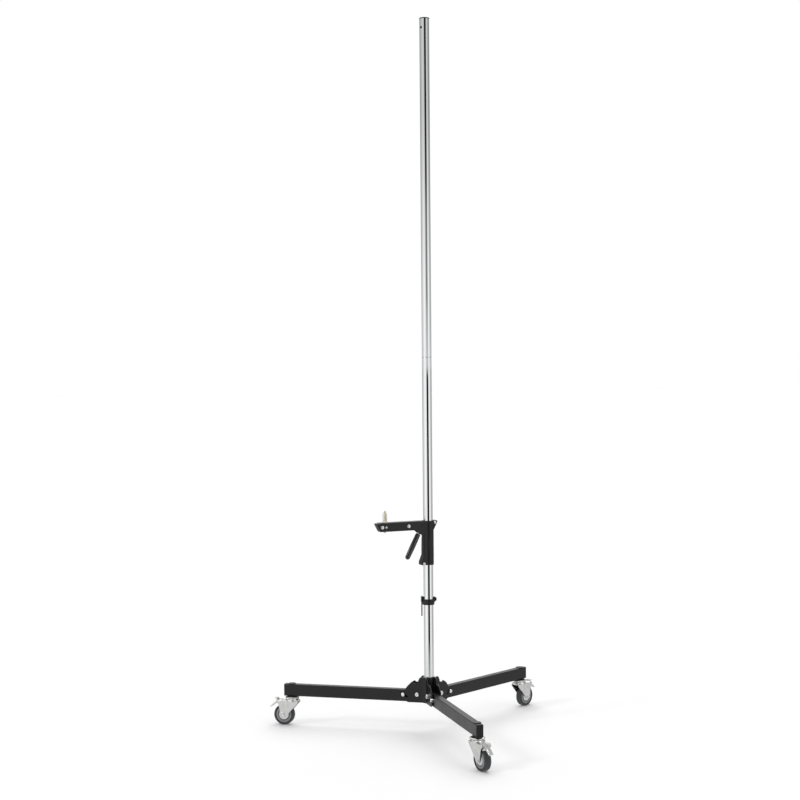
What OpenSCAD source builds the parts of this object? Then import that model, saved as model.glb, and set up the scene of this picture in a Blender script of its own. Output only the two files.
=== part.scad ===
// Studio column stand: a two-piece chromed column on a folding three-leg base with braked casters,
// a sliding arm with a release lever and a spigot, and a stop collar below the arm.
// Millimetres, +Z up. The origin is on the column's axis, on the floor.
// Each leg, plate and arm is drawn in its own local frame: x outward, y to its side, z up.

/* [Column] */
// Outside diameter of the column tube
column_d = 35; // [34:0.5:36]
// Wall thickness of the column tube
column_wall = 1.5; // [1:0.5:2]
// Length of each of the two column sections
section_len = 1200; // [1000:10:1300]
// Height of the lower end of the column above the floor
column_z = 140; // [138:1:142]
// Diameter of the cross hole near the column's top
top_hole_d = 9; // [6:0.5:11]

/* [Legs] */
// Distance from the column's axis to a leg's outer end
leg_reach = 541; // [500:1:600]
// Height of the leg tube
leg_h = 43; // [42:0.5:43]
// Width of the leg tube
leg_w = 24; // [22:1:24]
// Wall thickness of the leg tube
leg_wall = 2; // [1.5:0.5:2.5]
// Height of a leg's underside above the floor
leg_z = 107; // [106:1:108]
// Azimuth of the left leg; the others follow at 120 degree steps
first_leg_az = 150; // [140:1:160]

/* [Hub] */
// Distance from the column's axis to a leg's pivot
pivot_u = 40.5; // [40:0.5:42]
// Height of a leg's pivot above the leg's underside
pivot_h = 28; // [27:0.5:29]
// Radius of the notched rim of a hub plate about the pivot
rim_r = 46; // [45:0.5:46]
// Thickness of a hub plate
plate_t = 3.4; // [3:0.2:3.6]

/* [Casters] */
// Diameter of a caster's wheel
wheel_d = 75; // [70:1:75]
// Width of a caster's tyre
tyre_w = 25; // [22:1:26]
// Distance that a wheel trails behind its swivel
caster_trail = 30; // [28:1:32]
// Angle from its leg at which the front caster rests
front_caster_turn = 13; // [0:1:20]

/* [Stop collar] */
// Height of the collar's underside above the floor
collar_z = 457; // [400:1:470]
// Height of the collar
collar_h = 20; // [18:1:24]
// Outside diameter of the collar
collar_d = 43; // [42:0.5:46]

/* [Sliding arm] */
// Azimuth that the arm points to
arm_az = 186.4; // [180:0.2:190]
// Height of the arm's underside end of the sleeve above the floor
sleeve_z = 600; // [595:1:640]
// Length of the sleeve along the column
sleeve_h = 158; // [158:1:170]
// Outside diameter of the sleeve
sleeve_d = 41; // [41:0.5:44]
// Distance from the column's axis to the arm's tip
arm_reach = 201; // [200:1:240]
// Width of the arm
arm_w = 28; // [28:1:32]

/* [Spigot] */
// Diameter of the spigot's studs
stud_d = 16; // [15.8:0.1:16]
// Length of each stud
stud_len = 28; // [20:0.5:30]
// Length of each threaded tip
tip_len = 9.5; // [6:0.5:12]

/* [Hidden] */
$fn = 64;
LEG_SIDES = ["left", "front", "right"];
PLATE_SIDES = ["left", "right", "rear"];
function named(stem, sides) = [for (s = sides) str(stem, s)];

// Shared clearances: a running fit of a shaft in a bore, and the gap between parts that pass each other
run = 0.05;
gap = 0.3;
eps = 0.5;

// Colours
black = [0.16, 0.16, 0.17];
chrome = [0.86, 0.87, 0.88];
zinc = [0.80, 0.81, 0.82];
steel = [0.72, 0.73, 0.75];
tyre_grey = [0.33, 0.34, 0.36];
hub_grey = [0.62, 0.63, 0.65];
brass = [0.78, 0.66, 0.40];
nylon = [0.90, 0.89, 0.84];

// Column
column_r = column_d / 2;
bore_r = column_r - column_wall;
seam_z = column_z + section_len;
top_z = seam_z + section_len;
connector_len = 200;
connector_wall = 3;
connector_r = bore_r + 0.25;
tube_end_chamfer = 0.5;
seam_screw_dz = 29;
seam_screw_r = 3.5;
seam_screw_from = 11;
cross_hole_z = top_z - 34;
hole_az = first_leg_az + 60;

// Hub: each plate has a flat web across a bisector and two wings that run along the legs beside it
pivot_z = leg_z + pivot_h;
pivot_r = 5;
nut_h = 6;
hub_top_z = 197;
ring_h = 13;
ring_z = hub_top_z - ring_h;
plate_z = leg_z - 1;
web_r = 26;
web_half = 9;
bend_r = 10;
wing_out_t = web_r * sin(60) - web_half * cos(60);
wing_in_t = wing_out_t - plate_t;
wing_len = 70;
core_r = 21.5;
core_z = leg_z + 2;
core_plug_h = 25;
lobe_half = 9;
lobe_from = 12;
ring_r = 22.4;
web_screw_z = 132;
web_screw_r = 4;
web_head_r = 7;
web_head_h = 3;
ring_screw_u = 19.8;
ring_screw_r = 1.4;
base_bolt_r = 5;
clamp_slit_w = 6;
clamp_slit_az = first_leg_az + 80;
// Top lip of a wing, from the web down to the folded notch, measured from the pivot
lip = [[-13, 62], [-8.5, 58.5], [-4.5, 50], [-2.4, 43.5], [3.5, 38]];

// Lock pin: it runs along a sloping slot in the leg, drawn back at rest, and drops into a notch of the plates
pin_r = 4;
slot_r = pin_r + gap;
slot_tilt = 31;
slot_len = 14.5;
lock_at = [38.5, -9.2];
slot_dir = [cos(slot_tilt), sin(slot_tilt)];
drawn_at = lock_at + slot_len * slot_dir;
fold_angle = 86;
fold_seat = 6;
folded_at = lock_at + fold_seat * slot_dir;
pin_head_r = 6.5;
pin_head_t = 3;
pin_end = wing_out_t + 4 + pin_head_t;

// Leg
leg_start = pivot_u - 13;
leg_corner = 2.5;
leg_end_r = 18;
cap_len = 8;
cap_plug_len = 20;
stem_u = leg_reach - 28;
socket_r = 9.5;
flange_r = 19;
flange_t = 3;
dome_r = 13.5;
dome_h = 4;
anchor_back = 36;
anchor_r = 1.8;
spring_r = 3;
wire_r = 0.7;

// Caster
caster_turns = [0, front_caster_turn, 0];
wheel_r = wheel_d / 2;
stem_r = 6;
stem_top_z = leg_z + 34;
race_z = leg_z - flange_t;
crown_z = 87;
crown_t = 3.5;
race_r = 26;
cheek_in = tyre_w / 2 + 2.8;
cheek_t = 3.2;
cheek_out = cheek_in + cheek_t;
axle_r = 4;
pedal_at = [50, 84];
pedal_pin_r = 2.5;
pedal_half = 12;
crown_reach = 40;
rim_in = 24;
tyre_in = 29.5;
// Side outline of a fork cheek above its axle eye
cheek_outline = [
    [-25, 90.5], [51, 90.5], [55, 87], [55, 81], [48, 77],
    [caster_trail + 10.8, wheel_r + 2], [caster_trail - 8, wheel_r - 7.5], [-25, 82]
];
// Side outline of the pedal: release tab above, locking tab below, brake block over the tyre
pedal_outline = [
    [43.5, 88], [50, 89], [58, 97], [66, 97.5], [66.5, 95.2], [60, 94], [57.5, 89], [84, 64], [82.4, 61.4],
    [70, 69], [55, 79.5], [51, 77], [50, 69.9], [44, 72.7]
];

// Stop collar
collar_r = collar_d / 2;
lug_az = 170;
lug_reach = 27;
lug_half = 6.5;
lug_z = collar_z + 10;
lug_h = 19;
clamp_lever_u = 24.2;
clamp_lever_z = [416, 489];
clamp_lever_pin_z = collar_z + 25.5;
clamp_lever_half = 4;
clamp_lever_t = 5;
knob_z = collar_z + 18.5;
knob_r = 6;
knob_u = [24.8, 29];
knob_lobes = 8;

// Arm
sleeve_r = sleeve_d / 2;
sleeve_top = sleeve_z + sleeve_h;
sleeve_bore = column_r + 0.8;
glide_r = 19;
glide_h = 10;
glide_zs = [sleeve_z + 24, sleeve_top - 44];
arm_half = arm_w / 2;
arm_h = 31.6;
arm_z = sleeve_top - arm_h;
flare_half = 14;
rib_half = 9;
rib_u = 22.3;
grip_pin_u = 21.3;
grip_sleeve_r = 3.5;
grip_sleeve_half = 12;
grip_bolt_r = 2;
grip_bolts = [[-grip_pin_u, sleeve_top - 7], [grip_pin_u, sleeve_z + 5.5]];
grip_bolt_head_r = 5;
socket_u = 166;
arm_bolt_us = [80, socket_u + 15];
arm_bolt_z = sleeve_top - 16;
arm_bolt_r = 3;
bolt_head_r = 6.3;
bolt_head_t = 3.5;
lock_screw_r = 2.5;
socket_wall = 3;
cavity_end = 150;
skin = 3;
lever_at = [27, sleeve_top - 17];
lever_pin_r = 3;
lever_half = 3;
lever_turn = 11;
shoe_face = column_r + 0.1;
shoe_back = 20.6;
shoe_pin_at = [26.6, sleeve_top - 9];
shoe_pin_r = 1.4;
grip_top = [38, sleeve_top - 47];
grip_end = [79.4, sleeve_z + 31];
grip_half = 8;
grip_w = 18.5;
// Side outline of the arm with its gusset, of the rear flare and of the front flare
arm_outline = [
    [0, sleeve_top], [arm_reach - 11, sleeve_top], [arm_reach - 9.5, sleeve_top - 2],
    [arm_reach, sleeve_top - 2], [arm_reach, sleeve_top - 7], [arm_reach - 13, arm_z],
    [52, arm_z], [30, arm_z - 18.4], [0, arm_z - 18.4]
];
rear_flare = [
    [0, sleeve_top], [-31, sleeve_top], [-31, sleeve_top - 6], [-17, sleeve_top - 33], [0, sleeve_top - 36]
];
front_flare = [
    [0, sleeve_z], [29.5, sleeve_z], [31, sleeve_z + 2], [31, sleeve_z + 11], [21, sleeve_z + 36], [0, sleeve_z + 40]
];
// Side outline of the lever's steel core: hook, hub and tang
lever_outline = [
    [22.9, sleeve_top - 7], [24.5, sleeve_top - 7], [25.2, sleeve_top - 13], [31.5, sleeve_top - 15],
    [40.3, sleeve_top - 45.8], [grip_end[0] + 2.3, grip_end[1] + 1.2], [grip_end[0] - 2.3, grip_end[1] - 1.2],
    [35.7, sleeve_top - 48.2], [25.5, sleeve_top - 22], [23.2, sleeve_top - 17]
];

// Spigot
stud_r = stud_d / 2;
flange_z = sleeve_top + gap;
spigot_flange_r = 9.8;
spigot_flange_t = 4;
groove_r = 7.1;
groove_w = 3;
upper_tip_r = 4.76;
lower_tip_r = 3.17;

// Helpers

function leg_az(i) = first_leg_az + 120 * i;
function plate_az(i) = first_leg_az + 60 + 120 * i;
function arc(c, r, a0, a1, n) = [for (i = [0:n]) let (a = a0 + (a1 - a0) * i / n) c + r * [cos(a), sin(a)]];
function round_rect(w, h, r, n = 5) = concat(
    arc([w / 2 - r, h / 2 - r], r, 0, 90, n), arc([r - w / 2, h / 2 - r], r, 90, 180, n),
    arc([r - w / 2, r - h / 2], r, 180, 270, n), arc([w / 2 - r, r - h / 2], r, 270, 360, n)
);

module at_azimuth(az) {
    rotate([0, 0, az]) children();
}

// Stands a flat outline, drawn outward and upward, on edge between two side positions
module upright(t0, t1) {
    translate([0, t1, 0]) rotate([90, 0, 0]) linear_extrude(t1 - t0) children();
}

// Round rod across the local frame at [outward, up]
module cross_rod(at, r, t0, t1) {
    translate([at[0], t1, at[1]]) rotate([90, 0, 0]) cylinder(r = r, h = t1 - t0);
}

// Round rod that points outward at a height
module outward_rod(u0, u1, z, r) {
    translate([u0, 0, z]) rotate([0, 90, 0]) cylinder(r = r, h = u1 - u0);
}

module ring(r_out, r_in, z, h) {
    translate([0, 0, z]) difference() {
        cylinder(r = r_out, h = h);
        translate([0, 0, -eps]) cylinder(r = r_in, h = h + 2 * eps);
    }
}

module at_pivot() {
    translate([pivot_u, 0, pivot_z]) children();
}

module at_stem() {
    translate([stem_u, 0, 0]) children();
}

// Frame of a swivelled caster: x along its trail, from its stem's axis
module at_caster(i) {
    at_azimuth(leg_az(i)) at_stem() at_azimuth(caster_turns[i]) children();
}

// Column

module column_tube() {
    rotate_extrude() polygon([
        [bore_r, 0], [column_r - tube_end_chamfer, 0], [column_r, tube_end_chamfer],
        [column_r, section_len - tube_end_chamfer], [column_r - tube_end_chamfer, section_len],
        [connector_r, section_len], [connector_r, section_len - connector_len / 2],
        [bore_r, section_len - connector_len / 2]
    ]);
}

module seam_screw_bodies(r) {
    at_azimuth(hole_az) for (s = [-1, 1]) outward_rod(seam_screw_from, column_r + eps, seam_z + s * seam_screw_dz, r);
}

module lower_tube() {
    color(chrome) difference() {
        translate([0, 0, column_z]) column_tube();
        seam_screw_bodies(seam_screw_r);
    }
}

module upper_tube() {
    color(chrome) difference() {
        translate([0, 0, top_z]) mirror([0, 0, 1]) column_tube();
        seam_screw_bodies(seam_screw_r);
        at_azimuth(hole_az) outward_rod(-column_d, column_d, cross_hole_z, top_hole_d / 2);
    }
}

module tube_connector() {
    color(steel) difference() {
        ring(connector_r, bore_r - connector_wall, seam_z - connector_len / 2, connector_len);
        seam_screw_bodies(seam_screw_r);
    }
}

// The screws' heads are turned flush with the tube, so that the arm and collar slide over them
module tube_screws() {
    color(steel) intersection() {
        seam_screw_bodies(seam_screw_r);
        translate([0, 0, column_z]) cylinder(r = column_r, h = 2 * section_len);
    }
}

// Hub

// Cross section of the core and of its ring: a round body with a lobe behind each plate's web
module hub_section(r, half) {
    circle(r = r);
    for (i = [0:2]) rotate(plate_az(i)) translate([lobe_from, -half]) square([web_r - plate_t - lobe_from, 2 * half]);
}

module hub_screw_bodies() {
    for (i = [0:2]) at_azimuth(plate_az(i)) {
        outward_rod(core_r - 1, web_r, web_screw_z, web_screw_r);
        translate([ring_screw_u, 0, ring_z - 10]) cylinder(r = ring_screw_r, h = ring_h + 10);
    }
    translate([0, 0, core_z]) cylinder(r = base_bolt_r, h = column_z + core_plug_h - core_z);
}

module hub_core() {
    color(black) difference() {
        translate([0, 0, core_z]) linear_extrude(ring_z - core_z) hub_section(core_r, lobe_half);
        ring(column_r, bore_r, column_z, section_len);
        translate([0, 0, column_z + core_plug_h]) cylinder(r = column_r, h = section_len);
        hub_screw_bodies();
    }
}

// Split ring that closes on the column at the top of the hub
module hub_clamp_ring() {
    color(black) difference() {
        translate([0, 0, ring_z]) linear_extrude(ring_h) hub_section(ring_r, lobe_half - 1);
        translate([0, 0, ring_z - eps]) cylinder(r = column_r, h = ring_h + 2 * eps);
        at_azimuth(clamp_slit_az) translate([0, -clamp_slit_w / 2, ring_z - eps])
            cube([web_r, clamp_slit_w, ring_h + 2 * eps]);
        hub_screw_bodies();
    }
}

// Wing of a hub plate, seen from the side of its leg
module wing_outline() {
    translate([pivot_u, pivot_z]) difference() {
        union() {
            intersection() {
                circle(r = rim_r);
                translate([-20, plate_z - pivot_z]) square([80, rim_r + pivot_z - plate_z]);
            }
            polygon(concat([[-20, plate_z - pivot_z], [-20, hub_top_z - pivot_z]], [for (k = [0:3]) lip[k]], [[0, 0]]));
        }
        polygon(concat(lip, [[9, 41], [9, 70], [-8, 70]]));
        circle(r = pivot_r);
        translate(lock_at) circle(r = slot_r);
        translate(lock_at) rotate(slot_tilt) translate([0, -slot_r]) square([slot_len + slot_r, 2 * slot_r]);
        rotate(fold_angle) translate(folded_at) circle(r = slot_r);
        rotate(fold_angle) translate(folded_at) rotate(slot_tilt) translate([0, -slot_r]) square([20, 2 * slot_r]);
    }
}

// Bent plate seen from above: web across the bisector, wings along the two legs
function plate_side(s) =
    let (
        e = [cos(60), s * sin(60)],
        n = [-sin(60), s * cos(60)],
        tip = [web_r, s * web_half] + wing_len * e,
        c = [web_r + bend_r, s * (web_half - bend_r * tan(15))]
    ) concat(
        arc(c, bend_r, 180, 180 - 30 * s, 8), [tip, tip + plate_t * n], arc(c, bend_r + plate_t, 180 - 30 * s, 180, 8)
    );
function reversed(v) = [for (i = [len(v) - 1:-1:0]) v[i]];

module hub_plate(i) {
    bend_u = web_r * cos(60) + web_half * sin(60);
    color(black) at_azimuth(plate_az(i)) difference() {
        intersection() {
            translate([0, 0, plate_z]) linear_extrude(hub_top_z - plate_z)
                polygon(concat(plate_side(1), reversed(plate_side(-1))));
            union() {
                translate([0, -web_half - 2, plate_z]) cube([web_r + 2, 2 * web_half + 4, hub_top_z - plate_z]);
                for (s = [-1, 1]) at_azimuth(60 * s)
                    upright(s > 0 ? -30 : wing_in_t - 1, s > 0 ? 1 - wing_in_t : 30) intersection() {
                        wing_outline();
                        translate([bend_u - 2, plate_z]) square([200, hub_top_z - plate_z]);
                    }
            }
        }
        outward_rod(0, web_r - web_head_h, web_screw_z, web_screw_r);
        web_screw_head();
    }
}

// Countersunk head, flush with the web
module web_screw_head() {
    translate([web_r - web_head_h, 0, web_screw_z]) rotate([0, 90, 0])
        cylinder(r1 = web_screw_r, r2 = web_head_r, h = web_head_h);
}

module hub_screws() {
    color(steel) {
        for (i = [0:2]) at_azimuth(plate_az(i)) {
            outward_rod(core_r - 1, web_r - web_head_h, web_screw_z, web_screw_r);
            difference() {
                web_screw_head();
                translate([web_r - 2, 0, web_screw_z]) rotate([0, 90, 0]) cylinder(r = 2.9, h = 3, $fn = 6);
            }
            translate([ring_screw_u, 0, ring_z - 10]) cylinder(r = ring_screw_r, h = ring_h + 10);
            translate([ring_screw_u, 0, hub_top_z]) button_head(2.3, 1.6, 1.1);
        }
        translate([0, 0, core_z]) cylinder(r = base_bolt_r, h = column_z + core_plug_h - core_z);
        translate([0, 0, core_z - 5]) cylinder(r = 9, h = 5, $fn = 6);
    }
}

// Domed head with a hexagon socket, standing on z = 0
module button_head(r, h, socket_r) {
    difference() {
        rotate_extrude() polygon([[0, 0], [r, 0], [r, h * 0.45], [r * 0.86, h * 0.82], [r * 0.6, h], [0, h]]);
        translate([0, 0, h * 0.4]) cylinder(r = socket_r, h = h, $fn = 6);
    }
}

module pivot_bolts() {
    color(steel) for (i = [0:2]) at_azimuth(leg_az(i)) {
        cross_rod([pivot_u, pivot_z], pivot_r, -wing_out_t - nut_h - 2.5, wing_out_t);
        translate([pivot_u, wing_out_t, pivot_z]) rotate([-90, 0, 0]) button_head(8, 5, 3.5);
        translate([pivot_u, -wing_out_t, pivot_z]) rotate([90, 0, 0]) cylinder(r = 8.6, h = nut_h, $fn = 6);
    }
}

module pivot_spacers() {
    color(steel) for (i = [0:2], s = [-1, 1]) at_azimuth(leg_az(i)) difference() {
        t0 = leg_w / 2 + gap;
        cross_rod([pivot_u, pivot_z], 9, s > 0 ? t0 : -wing_in_t, s > 0 ? wing_in_t : -t0);
        cross_rod([pivot_u, pivot_z], pivot_r, -wing_out_t, wing_out_t);
    }
}

// Legs

module leg_bar(x0, x1, w, h, r) {
    translate([x0, 0, leg_z + leg_h / 2]) rotate([90, 0, 90]) linear_extrude(x1 - x0) polygon(round_rect(w, h, r));
}

module lock_slot(t0, t1) {
    at_pivot() {
        cross_rod(lock_at, slot_r, t0, t1);
        cross_rod(drawn_at, slot_r, t0, t1);
        translate([lock_at[0], 0, lock_at[1]]) rotate([0, -slot_tilt, 0])
            translate([0, t0, -slot_r]) cube([slot_len, t1 - t0, 2 * slot_r]);
    }
}

function spring_anchor() = drawn_at - anchor_back * slot_dir;

module leg_tube(i) {
    color(black) at_azimuth(leg_az(i)) {
        difference() {
            leg_bar(leg_start, leg_reach - cap_len, leg_w, leg_h, leg_corner);
            leg_bar(leg_start - 1, leg_reach, leg_w - 2 * leg_wall, leg_h - 2 * leg_wall, leg_corner - 1.5);
            cross_rod([pivot_u, pivot_z], pivot_r + run, -leg_w, leg_w);
            lock_slot(-leg_w, leg_w);
            at_stem() translate([0, 0, leg_z - 1]) cylinder(r = socket_r, h = leg_h + 2);
            difference() {
                translate([leg_start - 1, -leg_w, pivot_z]) cube([pivot_u - leg_start + 1, 2 * leg_w, leg_h]);
                cross_rod([pivot_u, pivot_z], leg_end_r, -2 * leg_w, 2 * leg_w);
            }
        }
        at_pivot() cross_rod(spring_anchor(), anchor_r, 1 - leg_w / 2, leg_w / 2 - 1);
    }
}

module leg_end_cap(i) {
    plug_w = leg_w - 2 * leg_wall;
    plug_h = leg_h - 2 * leg_wall;
    color(black) at_azimuth(leg_az(i)) {
        leg_bar(leg_reach - cap_len, leg_reach - 1.2, leg_w, leg_h, leg_corner);
        leg_bar(leg_reach - 1.2, leg_reach, leg_w - 2, leg_h - 2, leg_corner - 1);
        leg_bar(leg_reach - cap_len - 8, leg_reach - cap_len, plug_w, plug_h, leg_corner - 1.5);
    }
}

// Plastic socket through the leg: flange below, tube inside, low dome on top
module stem_socket(i) {
    color(black) at_azimuth(leg_az(i)) at_stem() difference() {
        rotate_extrude() polygon([
            [0, race_z], [flange_r - 1, race_z], [flange_r, race_z + 1], [flange_r, leg_z - 1], [flange_r - 1, leg_z],
            [socket_r, leg_z], [socket_r, leg_z + leg_h], [dome_r, leg_z + leg_h], [dome_r, leg_z + leg_h + 1.2],
            [dome_r * 0.8, leg_z + leg_h + 0.75 * dome_h], [dome_r * 0.4, leg_z + leg_h + dome_h],
            [0, leg_z + leg_h + dome_h]
        ]);
        translate([0, 0, race_z - 1]) cylinder(r = stem_r, h = stem_top_z - race_z + 1);
    }
}

// Pull spring that draws the lock pin into its notch, drawn as a row of rings
module lock_spring(i) {
    turns = 8;
    pitch = (anchor_back - anchor_r - pin_r - 2 * wire_r - 0.6) / (turns - 1);
    start = spring_anchor();
    color(steel) at_azimuth(leg_az(i)) at_pivot() translate([start[0], 0, start[1]]) rotate([0, 90 - slot_tilt, 0])
        for (k = [0:turns - 1]) translate([0, 0, anchor_r + wire_r + 0.3 + k * pitch])
            rotate_extrude($fn = 32) translate([spring_r, 0]) circle(r = wire_r, $fn = 16);
}

module lock_pin(i) {
    color(steel) at_azimuth(leg_az(i)) at_pivot() {
        cross_rod(drawn_at, pin_r, -pin_end, pin_end);
        for (s = [-1, 1]) translate([drawn_at[0], s * (pin_end - pin_head_t), drawn_at[1]]) rotate([-90 * s, 0, 0])
            rotate_extrude() polygon([
                [0, 0], [pin_head_r, 0], [pin_head_r, pin_head_t * 0.5], [pin_head_r * 0.8, pin_head_t], [0, pin_head_t]
            ]);
    }
}

// Casters

module caster_mount(i) {
    color(zinc) at_azimuth(leg_az(i)) at_stem() rotate_extrude() polygon([
        [0, crown_z - 4], [6.5, crown_z - 4], [8.5, crown_z - 2.5], [8.5, crown_z - gap], [stem_r, crown_z - gap],
        [stem_r, race_z - 4], [race_r - 2, race_z - 4], [race_r, race_z - 3], [race_r - 1, race_z], [stem_r, race_z],
        [stem_r, stem_top_z], [0, stem_top_z]
    ]);
}

module caster_fork(i) {
    color(zinc) at_caster(i) {
        difference() {
            union() {
                translate([0, 0, crown_z]) linear_extrude(crown_t) {
                    circle(r = race_r + 1);
                    translate([0, -cheek_out]) square([crown_reach, 2 * cheek_out]);
                }
                rotate_extrude() polygon([
                    [0, crown_z], [race_r, crown_z], [race_r, crown_z + 6], [race_r - 3, crown_z + 10],
                    [race_r - 6, race_z - 4 - gap], [0, race_z - 4 - gap]
                ]);
                for (t = [-cheek_out, cheek_in]) upright(t, t + cheek_t) {
                    polygon(cheek_outline);
                    translate([caster_trail, wheel_r]) circle(r = 11);
                }
            }
            translate([0, 0, crown_z - 10]) cylinder(r = stem_r + run, h = 40);
            cross_rod([caster_trail, wheel_r], axle_r, -cheek_out - 1, cheek_out + 1);
        }
        cross_rod(pedal_at, pedal_pin_r, -cheek_out - 1.5, cheek_out + 1.5);
    }
}

module caster_axle(i) {
    color(zinc) at_caster(i) {
        cross_rod([caster_trail, wheel_r], axle_r, -cheek_out, cheek_out);
        translate([caster_trail, cheek_out, wheel_r]) rotate([-90, 0, 0]) cylinder(r = 7, h = 4.5, $fn = 6);
        translate([caster_trail, -cheek_out, wheel_r]) rotate([90, 0, 0]) cylinder(r = 7, h = 5.5, $fn = 6);
    }
}

module at_wheel(i) {
    at_caster(i) translate([caster_trail, 0, wheel_r]) rotate([90, 0, 0]) children();
}

module wheel_hub(i) {
    boss_half = tyre_w / 2 + 2;
    color(hub_grey) at_wheel(i) rotate_extrude() polygon([
        [axle_r + run, -boss_half], [9.5, -boss_half], [11, -boss_half + 2], [12, -4.5], [rim_in - 1, -3.5],
        [rim_in, -9], [tyre_in - 2, -10.5], [tyre_in, -10.5], [tyre_in, 10.5], [tyre_in - 2, 10.5],
        [rim_in, 9], [rim_in - 1, 3.5], [12, 4.5], [11, boss_half - 2], [9.5, boss_half], [axle_r + run, boss_half]
    ]);
}

module tyre(i) {
    half = tyre_w / 2;
    shoulder = 5;
    color(tyre_grey) at_wheel(i) rotate_extrude($fn = 96) polygon(concat(
        [[tyre_in, -10.5], [tyre_in, 10.5]],
        [[tyre_in + 0.5, half]],
        reversed(arc([wheel_r - shoulder, half - shoulder], shoulder, 0, 90, 6)),
        reversed(arc([wheel_r - shoulder, shoulder - half], shoulder, -90, 0, 6)),
        [[tyre_in + 0.5, -half]]
    ));
}

module brake_pedal(i) {
    color(zinc) at_caster(i) difference() {
        upright(-pedal_half, pedal_half) polygon(pedal_outline);
        cross_rod(pedal_at, pedal_pin_r + run, -cheek_out, cheek_out);
        translate([58, -cheek_out, 60]) cube([40, cheek_out - pedal_half + 4, 40]);
        translate([58, pedal_half - 4, 60]) cube([40, cheek_out, 40]);
    }
}

// Stop collar

module stop_collar() {
    color(black) difference() {
        union() {
            ring(collar_r, column_r + run, collar_z, collar_h);
            at_azimuth(lug_az) translate([column_r + 0.5, -lug_half, lug_z])
                cube([lug_reach - column_r - 0.5, 2 * lug_half, lug_h]);
            at_azimuth(lug_az + 180) translate([column_r + 0.5, -lug_half, lug_z])
                cube([knob_u[0] - gap - column_r - 0.5, 2 * lug_half, lug_h - 2]);
        }
        translate([0, 0, collar_z - eps]) cylinder(r = column_r + run, h = collar_h + lug_h);
        // Room for the clamp lever and its pin
        at_azimuth(lug_az) {
            translate([clamp_lever_u - clamp_lever_t / 2 - 0.6, -clamp_lever_half - gap, collar_z - eps])
                cube([20, 2 * clamp_lever_half + 2 * gap, collar_h + lug_h]);
            translate([column_r - 1, -clamp_lever_half - gap, collar_z + collar_h + 1])
                cube([20, 2 * clamp_lever_half + 2 * gap, lug_h]);
        }
        at_azimuth(lug_az + 180) outward_rod(column_r - 1, knob_u[1], knob_z, 2.5 + run);
    }
    color(steel) at_azimuth(lug_az) cross_rod([clamp_lever_u, clamp_lever_pin_z], 1.5, -lug_half, lug_half);
}

// Over-centre lever that closes the collar; it hangs flat against the column
module stop_lever() {
    color(chrome) at_azimuth(lug_az) difference() {
        upright(-clamp_lever_half, clamp_lever_half) {
            translate([clamp_lever_u - clamp_lever_t / 2, clamp_lever_z[0] + 3])
                square([clamp_lever_t, clamp_lever_z[1] - clamp_lever_z[0] - 6]);
            translate([clamp_lever_u, clamp_lever_z[0] + 3]) circle(r = clamp_lever_t / 2 + 0.5);
            translate([clamp_lever_u, clamp_lever_z[1] - 3]) circle(r = clamp_lever_t / 2);
        }
        cross_rod([clamp_lever_u, clamp_lever_pin_z], 1.5 + run, -lug_half, lug_half);
    }
}

module stop_knob() {
    color(black) at_azimuth(lug_az + 180) {
        outward_rod(column_r + gap, knob_u[0], knob_z, 2.5);
        translate([knob_u[0], 0, knob_z]) rotate([0, 90, 0]) linear_extrude(knob_u[1] - knob_u[0]) difference() {
            circle(r = knob_r);
            for (k = [0:knob_lobes - 1]) rotate(360 / knob_lobes * k) translate([knob_r + 1, 0]) circle(r = 1.8);
        }
    }
}

// Sliding arm

module glide_ring_bodies(r_out) {
    for (z = glide_zs) ring(r_out, column_r + run, z, glide_h);
}

module glide_rings() {
    color(nylon) glide_ring_bodies(glide_r);
}

module arm_cavity() {
    // Hollow of the arm, open below where the lever hangs out, and open to the column for the shoe
    upright(-arm_half + skin, arm_half - skin) polygon([
        [30, sleeve_top - skin], [cavity_end, sleeve_top - skin], [cavity_end, arm_z + skin], [60, arm_z + skin],
        [60, arm_z - 30], [21.6, arm_z - 30], [21.6, arm_z - 3]
    ]);
    translate([0, -10.5, sleeve_top - 33]) cube([34, 21, 33 - skin]);
}

module arm_body() {
    difference() {
        union() {
            translate([0, 0, sleeve_z]) cylinder(r = sleeve_r, h = sleeve_h, $fn = 96);
            upright(-arm_half, arm_half) polygon(arm_outline);
            upright(-flare_half, flare_half) {
                polygon(rear_flare);
                polygon(front_flare);
            }
            upright(-rib_half, rib_half) translate([0, sleeve_z]) square([rib_u, arm_z - 20 - sleeve_z]);
        }
        translate([0, 0, sleeve_z - 1]) cylinder(r = sleeve_bore, h = sleeve_h + 2, $fn = 96);
        for (z = glide_zs) translate([0, 0, z - run]) cylinder(r = glide_r + run, h = glide_h + 2 * run, $fn = 96);
        arm_cavity();
        for (b = grip_bolts) {
            cross_rod(b, grip_bolt_r, -flare_half - 1, flare_half + 1);
            cross_rod(b, grip_sleeve_r, -grip_sleeve_half, grip_sleeve_half);
        }
        for (u = arm_bolt_us) cross_rod([u, arm_bolt_z], arm_bolt_r, -arm_half - 1, arm_half + 1);
        cross_rod(lever_at, lever_pin_r, -arm_half - 1, arm_half + 1);
        cross_rod([socket_u, arm_bolt_z], lock_screw_r, 0, arm_half + 1);
        translate([socket_u, 0, arm_z - 1]) cylinder(r = stud_r + socket_wall, h = arm_h + 2);
    }
}

module arm_half_space(side) {
    translate([-100, side > 0 ? 0 : -100, sleeve_z - 50]) cube([500, 100, sleeve_h + 100]);
}

module arm_shell_near() {
    color(black) at_azimuth(arm_az) intersection() {
        arm_body();
        arm_half_space(1);
    }
}

module arm_shell_far() {
    color(black) at_azimuth(arm_az) intersection() {
        arm_body();
        arm_half_space(-1);
    }
}

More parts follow.
